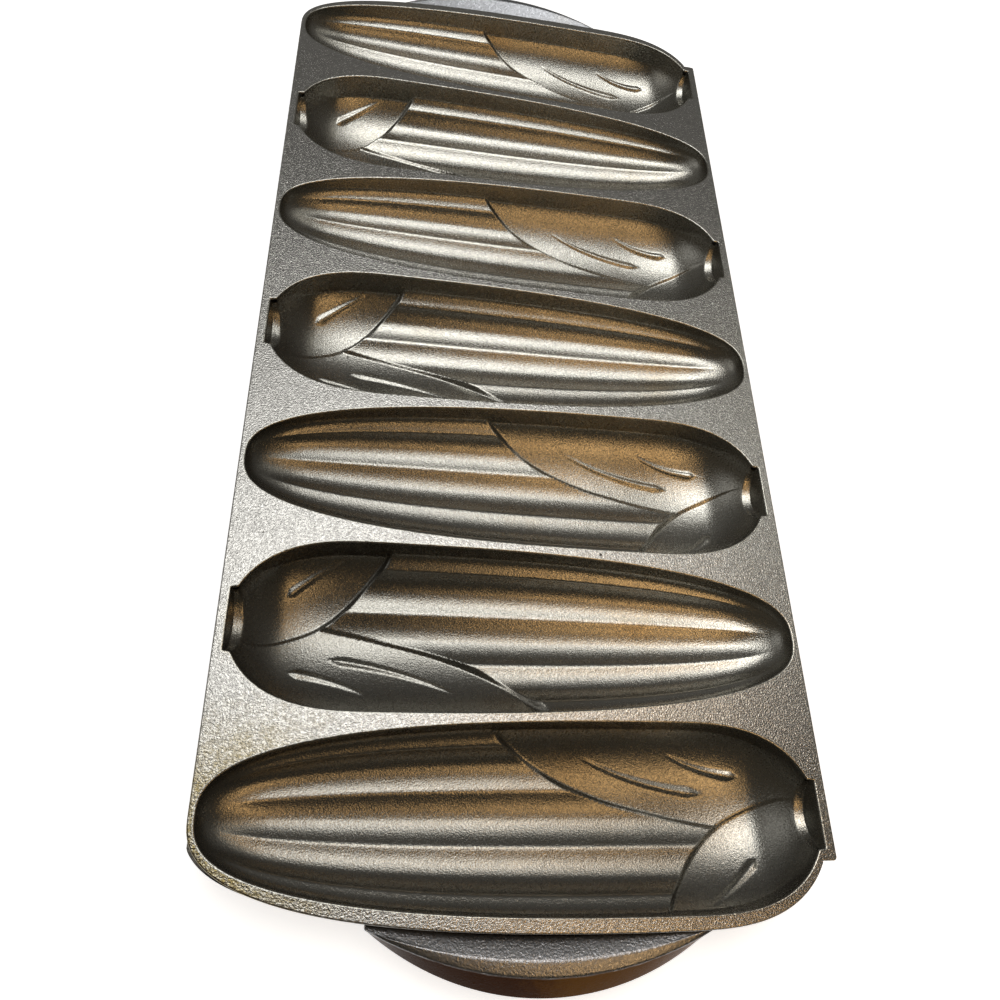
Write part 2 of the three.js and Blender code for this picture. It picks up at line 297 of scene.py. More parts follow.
def half_width(along, half=HALF_COB, tip=TIP_END, end=STEM_END):
    """Half the width of a cob at a place along it."""
    tip_run = clamp((WIDEST - along) / (WIDEST - tip), 0, 1)
    husk_run = clamp((along - WIDEST) / (end - WIDEST), 0, 1)
    tip_share = (1 - tip_run ** TIP_POWERS[0]) ** (1 / TIP_POWERS[1])
    husk_share = (1 - husk_run ** HUSK_POWERS[0]) ** (1 / HUSK_POWERS[1])
    return tip_share * husk_share * half


def mouth(place):
    """Along and across of the mouth's edge: place is 0 at the tip and 1 at the middle of the stem's end."""
    side = smaller(place / SIDE_SHARE, 1)
    end = larger((place - SIDE_SHARE) / (1 - SIDE_SHARE), 0)
    crowded = ((side * side + TIP_CROWD ** 2) ** 0.5 - TIP_CROWD) / (math.hypot(1, TIP_CROWD) - TIP_CROWD)
    sparse = crowded * (FLUTED_LENGTH / FLUTED_SHARE)
    dense = (crowded - FLUTED_SHARE) * ((COB_LENGTH - FLUTED_LENGTH) / (1 - FLUTED_SHARE)) + FLUTED_LENGTH
    along = smooth_smaller(sparse, dense, FLUTED_LENGTH / 2) + TIP_END
    taper = clamp((along - STEM_END + STEM_TAPER) / STEM_TAPER, 0, 1)
    stem = (STEM_HALF_WIDTH - taper * (STEM_HALF_WIDTH - STEM_END_HALF_WIDTH)) * ease(along, 0, WIDEST)
    half = smooth_larger(half_width(along), stem, NECK_ROUND) * (1 - end)
    return along, half * work("SIGN", place)


def mouth_normal(place, step=0.0015):
    """The direction outwards from the mouth's edge, in plan."""
    before = mouth(place - step)
    after = mouth(place + step)
    along = after[0] - before[0]
    across = after[1] - before[1]
    length = (along * along + across * across) ** 0.5
    return across / length * -1, along / length


PITCH = 2 * (float(half_width(0.0)) + MOUTH_SETBACK) + WEB_WIDTH
END_AXIS = PITCH * (COB_COUNT - 1) / 2


def leaf_curve(tree, along, length, edge):
    """The share of the half width at which a leaf's free edge lies, through its points."""
    node = add_node(tree, "ShaderNodeFloatCurve", Value=(STEM_END - along) / LEAF_CURVE_REACH)
    curve = node.mapping.curves[0]
    full = 2 * LEAF_SHARE_REACH
    spots = [(run * length / LEAF_CURVE_REACH, (share + LEAF_SHARE_REACH) / full) for run, share in edge]
    curve.points[0].location = spots[0]
    curve.points[1].location = spots[-1]
    for spot in spots[1:-1]:
        curve.points.new(*spot)
    node.mapping.update()
    return Field(tree, node.outputs[0]) * full - LEAF_SHARE_REACH


def leaf_distance(tree, along, across, half, *leaf):
    """Distance across the plan from a leaf's free edge, positive on the side of the large leaf."""
    step = 0.5 * MM
    share = leaf_curve(tree, along, *leaf)
    ahead = leaf_curve(tree, along + step, *leaf)
    behind = leaf_curve(tree, along - step, *leaf)
    slope = (ahead - behind) * half / (2 * step)
    return (across - share * half) / (slope * slope + 1) ** 0.5


def leaf_point(length, run, share):
    """Along and across of a point given in shares, as the leaves' edges are."""
    along = STEM_END - run * length
    return along, share * float(half_width(along))


def vein_rise(along, across, length, height, vein):
    """Height of a vein: pointed at its start, blunt at its end and round across."""
    start = leaf_point(length, *vein[0])
    end = leaf_point(length, *vein[1])
    span = math.dist(start, end)
    run = ((end[0] - start[0]) / span, (end[1] - start[1]) / span)
    far = ((along - start[0]) * run[0] + (across - start[1]) * run[1]) / span
    off = (across - start[1]) * run[0] - (along - start[0]) * run[1]
    bow = clamp(far, 0, 1) * (1 - clamp(far, 0, 1)) * (VEIN_BOW * span)
    body = clamp(far, 0, 1) ** VEIN_POINT_POWER * ease(1 - far, 0, VEIN_BLUNT_SHARE)
    spread = (off + bow) / larger(body * VEIN_HALF_WIDTH, TINY)
    return larger(1 - spread * spread, 0) ** 2 * body ** 0.5 * height


def fluting(share):
    """Depth of the flutes across a mould: 0 on a ridge and 1 in the middle of a flute."""
    angle = work("ARCCOSINE", share) / math.pi * FLUTE_COUNT
    spot = 0.5 - work("ABSOLUTE", work("FRACT", angle) - 0.5)
    spot = (spot * spot + CREST_ROUND ** 2) ** 0.5 - CREST_ROUND
    return spot * (1 - spot) * 4


def rim_run_out(depth):
    """0 at the rim and 1 well below it, for relief that fades out at the rim."""
    start = -RIM_RUN_OUT / 2
    at_rim = float(ease(0, start, RIM_RUN_OUT))
    return (ease(depth, start, RIM_RUN_OUT) - at_rim) / (1 - at_rim)


def veined_leaf(along, across, depth, length, vein_height, veins):
    """Depth of a leaf below the plain cob, less its veins."""
    for vein in veins:
        depth = depth - vein_rise(along, across, length, vein_height, vein)
    return depth


def stem_channel(along, across):
    """Depth of the round channel of the stem, whose floor rises to the stem's end."""
    share = clamp(across / STEM_HALF_WIDTH, -1, 1)
    channel = larger(1 - share * share, 0) ** 0.5 * STEM_DEPTH
    rise = clamp((along - STEM_END) / STEM_FLOOR_LENGTH + 1, 0, 1) * (STEM_FLOOR_RISE / STEM_DEPTH)
    return channel * (1 - rise) * ease(along, WIDEST, STEM_END - STEM_RUN_IN)


def hollow(tree, along, across):
    """Across, depth and wear of the mould's surface that starts from a plan point of the plain cob."""
    half = larger(half_width(along), TINY)
    share = clamp(across / half, -1, 1)
    drop = larger(1 - share * share, 0) ** 0.5
    lean = COB_DEPTH / HALF_COB
    base = half * drop * lean
    steep = (share * share * lean ** 2 + drop * drop) ** 0.5
    flute = fluting(share)
    run_out = rim_run_out(base)
    from_tip = ease(along, TIP_END, TIP_END + FLUTE_RUN_OUT)
    fluted = flute * run_out * half / HALF_COB * from_tip * FLUTE_DEPTH
    at_neck = ease(STEM_END - along, 0, NECK_RUN_OUT)

    large_edge = leaf_distance(tree, along, across, half, LARGE_LEAF_LENGTH, LARGE_LEAF_EDGE)
    small_edge = leaf_distance(tree, along, across, half, SMALL_LEAF_LENGTH, SMALL_LEAF_EDGE)
    in_large = ease(large_edge, -LEAF_STEP_WIDTH / 2, LEAF_STEP_WIDTH / 2)
    in_small = ease(-small_edge, -LEAF_STEP_WIDTH / 2, LEAF_STEP_WIDTH / 2)
    large_leaf = veined_leaf(
        along, across, run_out * at_neck * LARGE_LEAF_DEPTH,
        LARGE_LEAF_LENGTH, LARGE_VEIN_HEIGHT, LARGE_LEAF_VEINS,
    )
    small_leaf = veined_leaf(
        along, across, run_out * at_neck * SMALL_LEAF_DEPTH,
        SMALL_LEAF_LENGTH, SMALL_VEIN_HEIGHT, SMALL_LEAF_VEINS,
    )
    push = fluted + (large_leaf - fluted) * in_large
    push = push + (small_leaf - push) * in_small

    down = base + drop / steep * push
    limit = larger(half - down * WALL_DRAFT, 0)
    pushed = clamp(across + share / steep * push * lean, -limit, limit)
    at_mouth = work("COMPARE", base, 0, SAME)
    across_out = pushed + (across - pushed) * at_mouth

    end_wall = larger(STEM_END - along, 0) * (STEM_DEPTH / STEM_DRAFT)
    down = smooth_larger(down, stem_channel(along, across), NECK_ROUND)
    down = larger(smooth_smaller(down, end_wall, STEM_FOOT_ROUND), 0)
    crest = (1 - flute) ** CREST_SHARPNESS * (1 - in_large) * (1 - in_small)
    return across_out, down * (1 - RIM_ROUND / COB_DEPTH) + RIM_ROUND, crest


def shell_depth(along, across):
    """Depth of the outside of a mould below the deck's top."""
    half = HALF_COB + SIDE_WALL
    wide = half_width(along, half, TIP_END - SIDE_WALL, STEM_END + SIDE_WALL)
    cob = larger(wide * wide - across * across, 0) ** 0.5 * (SHELL_DEPTH / half)
    stem_share = clamp(across / STEM_SHELL_HALF_WIDTH, -1, 1)
    stem = larger(1 - stem_share * stem_share, 0) ** 0.5 * STEM_SHELL_DEPTH * ease(along, 0, WIDEST)
    body = smooth_larger(cob, stem, SHELL_FILLET)
    return smooth_smaller(smooth_larger(body, COLLAR_DEPTH, SHELL_FILLET), PAN_HEIGHT, LAND_ROUND)


def grid_band(tree, rows, shape):
    """A strip of mesh around a mould, whose points shape() lays from their place around and their row."""
    grid = add_node(
        tree, "GeometryNodeMeshGrid", Size_X=1, Size_Y=1, Vertices_X=AROUND + 1, Vertices_Y=rows + 1,
    )
    position = add_node(tree, "GeometryNodeInputPosition").outputs[0]
    spot = add_node(tree, "ShaderNodeSeparateXYZ", Vector=position)
    around = Field(tree, spot.outputs["X"]) * 2
    row = Field(tree, spot.outputs["Y"]) + 0.5
    place = clamp(1 - work("ABSOLUTE", around), 0, 1)
    side = work("GREATER_THAN", around, 0) * 2 - 1
    along, across, down, marks = shape(place, side, row)
    point = add_node(tree, "ShaderNodeCombineXYZ", X=along, Y=across, Z=PAN_HEIGHT - down)
    mesh = grid.outputs["Mesh"]
    for name, value in marks.items():
        store = add_node(tree, "GeometryNodeStoreNamedAttribute", Geometry=mesh, Name=name, Value=value)
        mesh = store.outputs[0]
    return add_node(tree, "GeometryNodeSetPosition", Geometry=mesh, Position=point.outputs[0]).outputs[0]


def hollow_band(tree):
    """The inside of a mould, from the hubs to the mouth."""
    def shape(place, side, row):
        along, across = mouth(place)
        hub = clamp(along, TIP_HUB, HUSK_HUB)
        reach = work("SINE", row * RIGHT_ANGLE)
        spot_along = hub + (along - hub) * reach
        spot_across = across * side * reach
        final_across, down, crest = hollow(tree, spot_along, spot_across)
        return spot_along, final_across, down, {"crest": crest, "outside": 0, "seam": OFF_SEAM}
    return grid_band(tree, HOLLOW_ROWS, shape)


def rim_band(tree):
    """The rounded rim, a narrow flat in the deck's top and a collar inside the deck."""
    def shape(place, side, row):
        along, across = mouth(place)
        out_along, out_across = mouth_normal(place)
        turn = smaller(row / RIM_ROUND_ROWS, 1) * RIGHT_ANGLE
        flat = clamp((row - RIM_ROUND_ROWS) / (RIM_FLAT_ROWS - RIM_ROUND_ROWS), 0, 1)
        fall = larger((row - RIM_FLAT_ROWS) / (1 - RIM_FLAT_ROWS), 0)
        offset = (1 - work("COSINE", turn)) * RIM_ROUND + flat * (COLLAR_OFFSET - RIM_ROUND)
        down = (1 - work("SINE", turn)) * RIM_ROUND + fall * COLLAR_DEPTH
        seam = work("COMPARE", row, RIM_FLAT_ROWS, SEAM_SLACK) * (place * side + 2) + OFF_SEAM
        marks = {"crest": 1 - work("COSINE", turn), "outside": 0, "seam": seam}
        return along + out_along * offset, (across + out_across * offset) * side, down, marks
    return grid_band(tree, RIM_ROWS, shape)


def shell_band(tree):
    """The outside of a mould, from the collar to the hubs."""
    def shape(place, side, row):
        along, across = mouth(place)
        out_along, out_across = mouth_normal(place)
        first = 1 / SHELL_ROWS
        spread = clamp(row / first, 0, 1)
        offset = spread * (SIDE_WALL - COLLAR_OFFSET) + COLLAR_OFFSET
        reach = work("COSINE", larger((row - first) / (1 - first), 0) * RIGHT_ANGLE)
        hub = clamp(along, TIP_HUB, HUSK_HUB)
        spot_along = hub + (along + out_along * offset - hub) * reach
        spot_across = (across + out_across * offset) * reach
        edge = HALF_DECK - SHELL_SETBACK
        spot_along = clamp(spot_along, -edge, edge)
        bay = (half_width(spot_along) - half_width(-spot_along) + PITCH) / 2
        spot_across = smaller(spot_across, bay) * side
        last_on_collar = first * 1.5
        on_collar = work("COMPARE", row, 0, last_on_collar)
        deep = shell_depth(spot_along, spot_across)
        down = deep + (COLLAR_DEPTH - deep) * on_collar
        return spot_along, spot_across, down, {"crest": 0, "outside": 1, "seam": OFF_SEAM}
    return grid_band(tree, SHELL_ROWS, shape)


def mould_tree(material):
    """A tree that makes one closed mould and lays it in its bay of the row."""
    tree = bpy.data.node_groups.new("cob_mould", "GeometryNodeTree")
    tree.interface.new_socket("Geometry", in_out="INPUT", socket_type="NodeSocketGeometry")
    for name in ("Row Place", "Turn"):
        tree.interface.new_socket(name, in_out="INPUT", socket_type="NodeSocketFloat")
    tree.interface.new_socket("Geometry", in_out="OUTPUT", socket_type="NodeSocketGeometry")
    inputs = tree.nodes.new("NodeGroupInput")
    join = tree.nodes.new("GeometryNodeJoinGeometry")
    for band in (hollow_band, rim_band, shell_band):
        tree.links.new(band(tree), join.inputs[0])
    merge = add_node(tree, "GeometryNodeMergeByDistance", Geometry=join.outputs[0], Distance=MERGE)
    flip = add_node(tree, "GeometryNodeFlipFaces", Mesh=merge.outputs[0])
    place = add_node(tree, "ShaderNodeCombineXYZ", Y=inputs.outputs["Row Place"])
    turn = add_node(tree, "ShaderNodeCombineXYZ", Z=inputs.outputs["Turn"])
    single = add_node(tree, "GeometryNodeGeometryToInstance", Geometry=flip.outputs[0])
    laid = add_node(
        tree, "GeometryNodeTransform", Geometry=single.outputs[0],
        Translation=place.outputs[0], Rotation=turn.outputs[0],
    )
    real = add_node(tree, "GeometryNodeRealizeInstances", Geometry=laid.outputs[0])
    finish = add_node(tree, "GeometryNodeSetMaterial", Geometry=real.outputs[0], Material=material)
    outputs = tree.nodes.new("NodeGroupOutput")
    tree.links.new(finish.outputs[0], outputs.inputs[0])
    return tree


def socket_id(tree, name):
    return next(item.identifier for item in tree.interface.items_tree if item.name == name)


def new_object(name, mesh):
    piece = bpy.data.objects.new(name, mesh)
    bpy.context.scene.collection.objects.link(piece)
    return piece


def smooth_but_sharp(mesh, degrees):
    """Smooth shading, with the edges that turn by more than an angle left sharp."""
    mesh.shade_smooth()
    mesh.set_sharp_from_angle(angle=math.radians(degrees))


def make_moulds(material):
    """The moulds in a row, every other one turned end for end."""
    tree = mould_tree(material)
    moulds = []
    for n in range(COB_COUNT):
        blank = new_object(f"cob_mould_{n + 1}", bpy.data.meshes.new("blank"))
        modifier = blank.modifiers.new("mould", "NODES")
        modifier.node_group = tree
        modifier[socket_id(tree, "Row Place")] = n * PITCH - END_AXIS
        modifier[socket_id(tree, "Turn")] = math.pi * (n % 2)
        depsgraph = bpy.context.evaluated_depsgraph_get()
        made = bpy.data.meshes.new_from_object(blank.evaluated_get(depsgraph))
        blank.modifiers.remove(modifier)
        blank.data = made
        made.name = blank.name
        smooth_but_sharp(made, MOULD_SHARP_ANGLE)
        moulds.append(blank)
    return moulds


def seam_ring(mesh):
    """The points where a mould's rim meets the deck's top, in order round the mouth."""
    count = len(mesh.vertices)
    seam = np.zeros(count, np.float32)
    mesh.attributes["seam"].data.foreach_get("value", seam)
    points = np.zeros(count * 3, np.float32)
    mesh.vertices.foreach_get("co", points)
    points = points.reshape(-1, 3)
    rows = np.flatnonzero(seam > OFF_SEAM / 2)
    order = np.argsort(seam[rows])
    return points[rows[order]]


# Deck

def rim_width(along):
    """How far the rim reaches from an end mould's mouth, less towards both ends of the mould."""
    return TIP_WALL + (RIM_WIDTH - TIP_WALL) * (1 - (along / TIP_END) ** RIM_POWER) + MOUTH_SETBACK


def end_rim():
    """The outline of the rim round an end mould, outwards from the row, from the tip to the stem's ear."""
    places = np.linspace(0, SIDE_SHARE, END_RIM_POINTS)
    just_off_tip = 1e-6
    along, across = mouth(places)
    out_along, out_across = mouth_normal(np.maximum(places, just_off_tip))
    x = along + out_along * rim_width(along)
    v = across + out_across * rim_width(along)
    ear = STEM_HALF_WIDTH + MOUTH_SETBACK + EAR_WIDTH
    keep = (x > -HALF_DECK) & ((x < WIDEST) | (v > ear))
    points = list(zip(x[keep], v[keep]))
    corner = [(points[-1][0], ear)]
    for i in range(EAR_STEPS + 1):
        turn = RIGHT_ANGLE * i / EAR_STEPS
        corner.append((
            HALF_DECK - EAR_ROUND * (1 - math.sin(turn)),
            ear - EAR_ROUND * (1 - math.cos(turn)),
        ))
    return np.array([(-HALF_DECK, points[0][1]), *points, *corner]) + (0, END_AXIS)


def deck_outline():
    """The deck's outline, anticlockwise from the near left."""
    far = end_rim()
    return np.concatenate([far * (1, -1), far[::-1]])


def deck_edge_rows():
    """The profile of the deck's edge from the top to the underside: how far in, and how far down."""
    rows = [(DECK_EDGE_ROUND + DECK_EDGE_FLAT, 0)]
    for i in range(DECK_EDGE_STEPS + 1):
        turn = RIGHT_ANGLE * i / DECK_EDGE_STEPS
        rows.append((DECK_EDGE_ROUND * (1 - math.sin(turn)), DECK_EDGE_ROUND * (1 - math.cos(turn))))
    return rows + [(inset, DECK_THICKNESS - down) for inset, down in reversed(rows)]


def inset_loop(points, distance):
    """A closed plan loop moved inwards, to the left of its direction."""
    before = np.roll(points, 1, axis=0)
    after = np.roll(points, -1, axis=0)
    first = points - before
    second = after - points
    first /= np.linalg.norm(first, axis=1, keepdims=True)
    second /= np.linalg.norm(second, axis=1, keepdims=True)
    normal = np.stack([-(first + second)[:, 1], (first + second)[:, 0]], axis=1)
    reach = 1 + np.sum(first * second, axis=1, keepdims=True)
    least_reach = 0.5
    return points + normal / np.maximum(reach, least_reach) * distance


def ring_of(bm, points, height):
    return [bm.verts.new((x, y, height)) for x, y in points]


def bridge(bm, upper, lower):
    """Faces between two rings of as many points."""
    for i, corner in enumerate(upper):
        j = (i + 1) % len(upper)
        bm.faces.new((corner, lower[i], lower[j], upper[j]))


def loop_edges(bm, ring):
    return [bm.edges.get((a, b)) for a, b in zip(ring, ring[1:] + ring[:1])]


def make_deck(moulds, material):
    """The flat plate, with a hole at each mould's seam."""
    bm = bmesh.new()
    outside = bm.verts.layers.float.new("outside")
    outline = deck_outline()
    rings = [ring_of(bm, inset_loop(outline, inset), PAN_HEIGHT - down) for inset, down in deck_edge_rows()]
    for upper, lower in zip(rings, rings[1:]):
        bridge(bm, upper, lower)
    tops = loop_edges(bm, rings[0])
    feet = loop_edges(bm, rings[-1])
    for mould in moulds:
        mouth_points = seam_ring(mould.data)[:, :2]
        upper = ring_of(bm, mouth_points, PAN_HEIGHT)
        lower = ring_of(bm, mouth_points, PAN_HEIGHT - DECK_THICKNESS)
        bridge(bm, upper, lower)
        tops += loop_edges(bm, upper)
        feet += loop_edges(bm, lower)
    bmesh.ops.triangle_fill(bm, use_beauty=True, edges=tops, normal=(0, 0, 1))
    bmesh.ops.triangle_fill(bm, use_beauty=True, edges=feet, normal=(0, 0, -1))
    bmesh.ops.recalc_face_normals(bm, faces=bm.faces)
    for corner in bm.verts:
        corner[outside] = float(corner.co.z < PAN_HEIGHT - DECK_EDGE_ROUND / 2)
    mesh = bpy.data.meshes.new("deck")
    bm.to_mesh(mesh)
    bm.free()
    mesh.materials.append(material)
    smooth_but_sharp(mesh, DECK_SHARP_ANGLE)
    return new_object("deck", mesh)


# Handles

def shell_side(x, down):
    """How far an end mould's outside reaches across, at a place along it and a depth."""
    wide = float(half_width(x, HALF_COB + SIDE_WALL, TIP_END - SIDE_WALL, STEM_END + SIDE_WALL))
    deep = SHELL_DEPTH * wide / (HALF_COB + SIDE_WALL)
    bay = (PITCH + float(half_width(x)) - float(half_width(-x))) / 2
    return min(wide * math.sqrt(max(0, 1 - (down / deep) ** 2)), bay)


def rounded(points, radius, steps=4):
    """An open profile whose inner corners are rounded."""
    out = [points[0]]
    for before, corner, after in zip(points, points[1:], points[2:]):
        back = Vector(before) - Vector(corner)
        ahead = Vector(after) - Vector(corner)
        start = Vector(corner) + back.normalized() * min(radius, back.length / 2)
        end = Vector(corner) + ahead.normalized() * min(radius, ahead.length / 2)
        for i in range(steps + 1):
            t = i / steps
            out.append(tuple(start * (1 - t) ** 2 + Vector(corner) * 2 * t * (1 - t) + end * t ** 2))
    return out + [points[-1]]


def dish_row(lip, root, share):
    """A point of a handle's dished top, a share of the way from the lip to the root."""
    width = max(0, abs(lip.y) - abs(root.y))
    fall = width * share * (DISH_LIP_SLOPE + (DISH_ROOT_SLOPE - DISH_LIP_SLOPE) / 2 * share)
    plan = lip.lerp(root, share)
    return plan.x, plan.y, lip.z - fall


def make_handle(name, side, shape, material):
    """A D-shaped lug against the deck's rim, whose arcs at every level share their ends."""
    half = shape["chord"] / 2
    rim = end_rim()
    # The profile starts on the dished top, so that the corner of the lip is rounded into it
    run = 2 * shape["round"]
    start = (shape["corners"][0][0] + run, run * DISH_LIP_SLOPE)
    profile = rounded([start, *shape["corners"]], shape["round"])[1:]
    bm = bmesh.new()
    below = bm.verts.layers.float.new("below")
    sections = []
    for j in range(HANDLE_SECTIONS + 1):
        turn = 2 * j / HANDLE_SECTIONS - 1
        ring = []
        for inset, drop in profile:
            reach = HANDLE_REACH - inset
            radius = (reach ** 2 + half ** 2) / (2 * reach)
            angle = turn * math.asin(half / radius)
            x = shape["shift"] + radius * math.sin(angle)
            y = HANDLE_TIP - inset - radius * (1 - math.cos(angle))
            ring.append(bm.verts.new((x, side * y, HANDLE_TOP - drop)))
            ring[-1][below] = drop
        x = shape["shift"] + half * turn
        foot_root = END_AXIS + shell_side(x, PAN_HEIGHT - HANDLE_FOOT) - HANDLE_SINK
        ring.append(bm.verts.new((x, side * foot_root, HANDLE_FOOT)))
        ring[-1][below] = HANDLE_THICKNESS
        top_root = float(np.interp(x, rim[:, 0], rim[:, 1])) - HANDLE_SINK
        for i in range(DISH_ROWS, 0, -1):
            root = Vector((x, side * top_root, HANDLE_TOP))
            ring.append(bm.verts.new(dish_row(ring[0].co, root, i / DISH_ROWS)))
        sections.append(ring)
    for ring, following in zip(sections, sections[1:]):
        bridge(bm, ring, following)
    bm.faces.new(sections[0])
    bm.faces.new(sections[-1])
    bmesh.ops.remove_doubles(bm, verts=bm.verts, dist=MERGE)
    bmesh.ops.recalc_face_normals(bm, faces=bm.faces)
    mesh = bpy.data.meshes.new(name)
    bm.to_mesh(mesh)
    bm.free()
    mesh.materials.append(material)
    smooth_but_sharp(mesh, HANDLE_SHARP_ANGLE)
    return new_object(name, mesh)


# Materials: the shared effects are node groups, placed in each iron with its own values

# Grain, specks, pits and patches. A span is where a mask starts and is full.
WAVE_LENGTH = 9 * MM
SPECK_SPACING = 1.5
SPECK_SPAN = (0.35, 0.65)
SPECK_SHADE = 0.5
PIT_SPREAD = 1.6
PIT_WALL = (0.6, 1.0)
SMALLEST_PIT = 0.02 * MM
PIT_DEPTH = 0.15 * MM
PIT_COLOUR = (0.03, 0.026, 0.02)
PIT_SHARE = 0.8
PATCH_EDGE = 0.25

# Wear and seasoning of the iron; a painted shade at the pan's near left corner, and a painted warm reflection
# by the deck's near left rim
METAL_SHARE = 0.95
CREST_SHARE = 0.2
CREST_GAIN = 1.4
OUTSIDE_IRON = (0.085, 0.078, 0.066)
OUTSIDE_SHARE = 0.9
# Painted shade, darker towards the near left corner
CORNER_SHADE_COLOUR = (0, 0, 0)
CORNER_SHADE_SPAN = (-120 * MM, 0)
CORNER_SHADE_LEAN = 1.2
# Painted warm reflection: a golden patch, ragged and speckled
WARM_REFLECTION_SPAN = (0.5, 1.4)
WARM_REFLECTION_RAGGED_SIZE = 4 * MM
WARM_REFLECTION_RAGGED_SHARE = 0.8
WARM_REFLECTION_SPECKS = 0.6

# Painted shade with a painted warm reflection on the handles' sides below the lips, made matt: ragged by
# noise, in how far below the lip it starts and where it turns from dark brown to golden brown towards the
# right
SIDE_SHADE_IOR = 1.08
SIDE_SHADE_RAGGED_SIZE = 3 * MM
SIDE_SHADE_RAGGED_EDGE = 0.5 * MM
SIDE_SHADE_EDGE_SPAN = (0.6 * MM, 1.1 * MM)
SIDE_SHADE_RAGGED_WARMING = 12 * MM
SIDE_SHADE_WARMING_SPAN = (2 * MM, 16 * MM)

# What each effect adds to an iron's roughness
SPECK_ROUGHNESS = 0.08
PIT_ROUGHNESS = 0.2
CREST_ROUGHNESS = -0.04
OUTSIDE_ROUGHNESS = 0.2


def node_group(name, inputs, outputs):
    """An empty shader group with float or vector inputs and outputs, and its two end nodes."""
    tree = bpy.data.node_groups.new(name, "ShaderNodeTree")
    for title, kind, value in inputs:
        socket = tree.interface.new_socket(title, in_out="INPUT", socket_type="NodeSocket" + kind)
        if value is not None:
            socket.default_value = value
    for title, kind in outputs:
        tree.interface.new_socket(title, in_out="OUTPUT", socket_type="NodeSocket" + kind)
    return tree, tree.nodes.new("NodeGroupInput").outputs, tree.nodes.new("NodeGroupOutput").inputs


def noise(tree, vector, size, detail=2.0, rough=0.5):
    """Smooth noise from 0 to 1 whose lumps are about one size across."""
    node = add_node(tree, "ShaderNodeTexNoise", Vector=vector, Detail=detail, Roughness=rough)
    feed(tree, node.inputs["Scale"], size ** -1)
    return Field(tree, node.outputs[0])


def sand_grain_group():
    """The skin that moulding sand leaves: grains over slow waves, as a height, and specks, as a mask."""
    inputs = [
        ("Vector", "Vector", None),
        ("Grain Size", "Float", 0.6 * MM),
        ("Grain Height", "Float", 0.02 * MM),
        ("Wave Height", "Float", 0.05 * MM),
    ]
    tree, given, out = node_group("sand_grain", inputs, [("Height", "Float"), ("Speckle", "Float")])
    size = Field(tree, given["Grain Size"])
    grain = noise(tree, given["Vector"], size, detail=2, rough=0.6)
    mottle = noise(tree, given["Vector"], size * SPECK_SPACING, detail=3, rough=0.7)
    wave = noise(tree, given["Vector"], WAVE_LENGTH, detail=2)
    height = grain * Field(tree, given["Grain Height"]) + wave * Field(tree, given["Wave Height"])
    feed(tree, out["Height"], height)
    feed(tree, out["Speckle"], ease(mottle, *SPECK_SPAN))
    return tree


def casting_pit_group():
    """Small round pits scattered in the skin, as a mask."""
    inputs = [("Vector", "Vector", None), ("Spacing", "Float", 3 * MM), ("Radius", "Float", 0.35 * MM)]
    tree, given, out = node_group("casting_pits", inputs, [("Pits", "Float")])
    spacing = Field(tree, given["Spacing"])
    cells = add_node(tree, "ShaderNodeTexVoronoi", Vector=given["Vector"], Scale=spacing ** -1)
    colour = add_node(tree, "ShaderNodeSeparateColor", Color=cells.outputs["Color"])
    radius = Field(tree, colour.outputs[0]) ** 2 * Field(tree, given["Radius"]) * PIT_SPREAD
    distance = Field(tree, cells.outputs["Distance"]) * spacing
    feed(tree, out["Pits"], 1 - ease(distance / larger(radius, SMALLEST_PIT), *PIT_WALL))
    return tree


def seasoning_group():
    """Brown patches of baked-on oil, as a mask from 0 to 1."""
    inputs = [("Vector", "Vector", None), ("Patch Size", "Float", 30 * MM), ("Amount", "Float", 0.5)]
    tree, given, out = node_group("seasoning", inputs, [("Tint", "Float")])
    patches = noise(tree, given["Vector"], Field(tree, given["Patch Size"]), detail=4, rough=0.6)
    start = 1 - Field(tree, given["Amount"])
    feed(tree, out["Tint"], ease(patches, start - PATCH_EDGE, start + PATCH_EDGE))
    return tree


GRAIN = sand_grain_group()
PITS = casting_pit_group()
SEASONING = seasoning_group()


def use_group(tree, group, vector, **values):
    """Places a group, with its inputs by name, and returns its outputs by name."""
    node = tree.nodes.new("ShaderNodeGroup")
    node.node_tree = group
    feed(tree, node.inputs["Vector"], vector)
    for name, value in values.items():
        feed(tree, node.inputs[name.replace("_", " ")], value)
    return {socket.name: Field(tree, socket) for socket in node.outputs}


def mix_colour(tree, share, first, second):
    """A mix of two colours, of which the share is the second's."""
    node = tree.nodes.new("ShaderNodeMix")
    node.data_type = "RGBA"
    feed(tree, node.inputs["Factor"], share)
    feed(tree, node.inputs[6], first)
    feed(tree, node.inputs[7], second)
    return node.outputs[2]


def opaque(colour, gain=1):
    """A colour with full alpha, brighter or darker by a gain."""
    return (*[min(1, part * gain) for part in colour], 1)


def attribute(tree, name):
    """A value stored in the mesh, or 0 where the mesh has none."""
    return Field(tree, add_node(tree, "ShaderNodeAttribute", {"attribute_name": name}).outputs["Fac"])


def corner_shade_mask(tree, place):
    """Painted shade: 1 at the near left corner of the pan, falling to 0 over a slanting span."""
    from_corner = Field(tree, place["X"]) * CORNER_SHADE_LEAN + Field(tree, place["Y"])
    return 1 - ease(from_corner, *CORNER_SHADE_SPAN)


def warm_reflection_mask(tree, spot, centre, reach):
    """Painted warm reflection: 1 near a place of the pan and 0 beyond a reach, with a ragged edge."""
    away = add_node(tree, "ShaderNodeVectorMath", {"operation": "DISTANCE"}).inputs
    feed(tree, away[0], spot)
    feed(tree, away[1], centre)
    distance = Field(tree, away[0].node.outputs["Value"])
    ragged = noise(tree, spot, WARM_REFLECTION_RAGGED_SIZE, detail=4, rough=0.7)
    return 1 - ease(distance / reach + ragged * WARM_REFLECTION_RAGGED_SHARE, *WARM_REFLECTION_SPAN)


